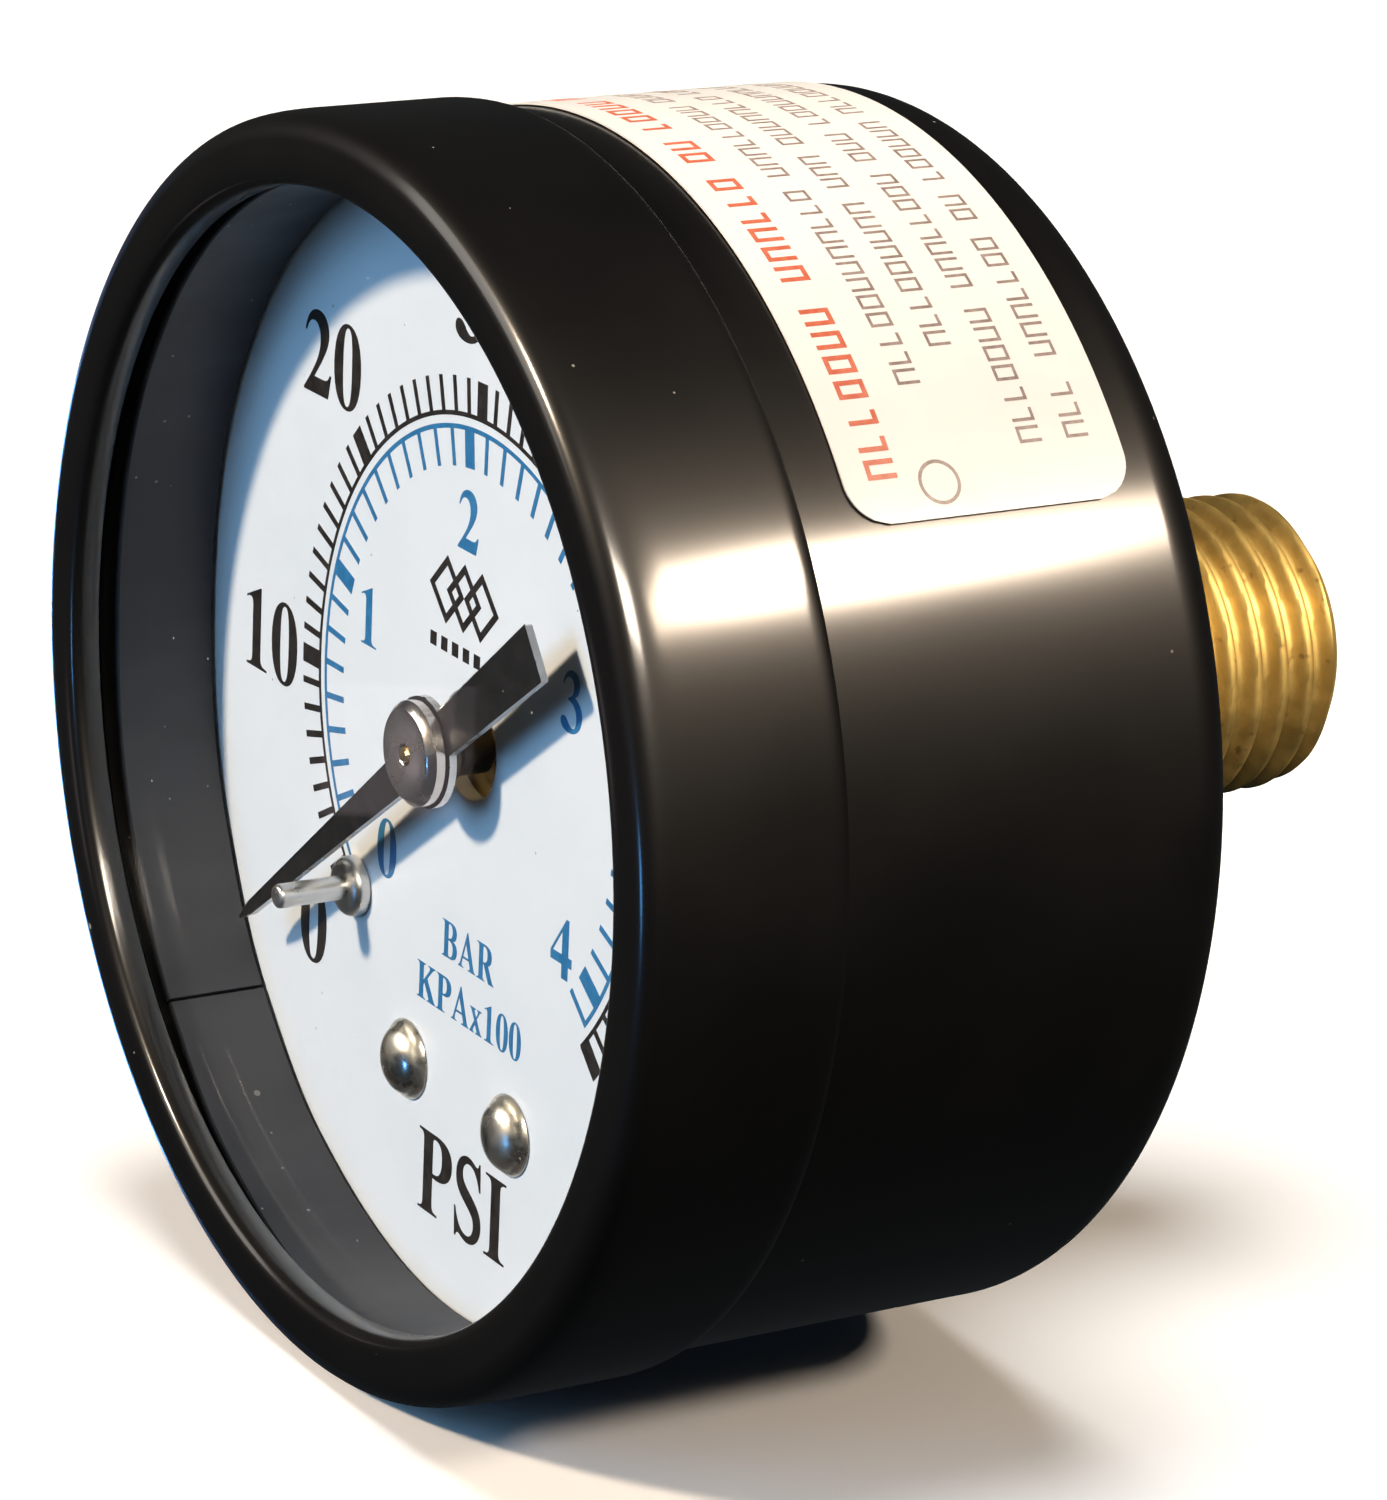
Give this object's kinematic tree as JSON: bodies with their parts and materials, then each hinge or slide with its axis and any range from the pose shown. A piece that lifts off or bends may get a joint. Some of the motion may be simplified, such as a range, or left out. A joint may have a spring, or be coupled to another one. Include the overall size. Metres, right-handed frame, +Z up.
{
  "type": "pressure gauge",
  "caption": "Round pressure gauge with a black steel case, white dual-scale dial, pointer driven by a Bourdon tube and geared movement, and a threaded brass stem at the centre of the back.",
  "frame": {"origin": "on the pointer's axis at the free end of the threaded stem", "axes": "+Y out of the back along the stem, -Y the way the dial faces, +Z up on the dial, +X to the right as the dial is read"},
  "size_m": [0.054, 0.0479, 0.054],
  "materials": {
    "black_paint": "gloss black enamel on pressed steel",
    "window_clear": "clear flat window",
    "spacer_grey": "dark grey strip",
    "dial_white": "satin white enamel with black and blue printing",
    "nickel": "polished nickel plate",
    "pointer_black": "satin black with bare stamped edges",
    "brass": "machined brass",
    "bronze": "drawn phosphor bronze tube",
    "spring_bronze": "polished phosphor bronze strip",
    "screw_steel": "zinc plated steel",
    "label_white": "white self-adhesive label"
  },
  "bodies": {
    "housing": {"case": "black_paint", "bezel_ring": "black_paint", "window": "window_clear", "spacer_ring": "spacer_grey", "label": "label_white", "case_screw_left": "screw_steel", "case_screw_right": "screw_steel", "dial": "dial_white", "dial_screw_left": "nickel", "dial_screw_right": "nickel", "stop_pin": "nickel", "front_plate": "brass", "back_plate": "brass", "pillar_top_left": "brass", "pillar_top_right": "brass", "pillar_bottom": "brass", "plate_screw_top_left": "screw_steel", "plate_screw_top_right": "screw_steel", "plate_screw_bottom": "screw_steel", "movement_screw_top": "screw_steel", "movement_screw_side": "screw_steel", "hairspring": "spring_bronze", "hairspring_stud": "brass", "bourdon_tube": "bronze", "socket": "brass", "restrictor": "screw_steel"},
    "pointer_assembly": {"pointer": "pointer_black", "pointer_knob": "nickel", "pointer_bush": "brass", "pinion_arbor": "brass", "hairspring_collet": "brass"},
    "sector_assembly": {"sector_gear": "brass", "sector_arbor": "screw_steel", "sector_pin": "screw_steel"},
    "tube_tip_assembly": {"tube_tip": "brass", "tip_pin": "screw_steel"},
    "link_assembly": {"link": "brass"}
  },
  "joints": [
    {"name": "pointer_spin", "type": "hinge", "parent": "housing", "child": "pointer_assembly", "pos_m": [0, -0.0371, 0], "axis": [0, 1, 0], "range_deg": [0, 262], "stiffness_Nm_per_rad": 0.00015, "springref_deg": -17.19},
    {"name": "sector_swing", "type": "hinge", "parent": "housing", "child": "sector_assembly", "pos_m": [0, -0.0367, -0.012], "axis": [0, 1, 0], "range_deg": [-37.5, 0]},
    {"name": "tip_swing", "type": "hinge", "parent": "housing", "child": "tube_tip_assembly", "pos_m": [-0.009, -0.0349, 0.01], "axis": [0, 1, 0], "range_deg": [-4.85, 0], "deforming": ["bourdon_tube"]},
    {"name": "link_swing", "type": "hinge", "parent": "tube_tip_assembly", "child": "link_assembly", "pos_m": [0.01316, -0.0379, -0.00747], "axis": [0, 1, 0], "range_deg": [0, 1.86]}
  ],
  "couplings": [
    {"joint": "sector_swing", "follows": "pointer_spin", "ratio": -0.14286},
    {"joint": "tip_swing", "follows": "pointer_spin", "ratio": -0.018489},
    {"joint": "link_swing", "follows": "pointer_spin", "ratio": 0.0070725}
  ]
}
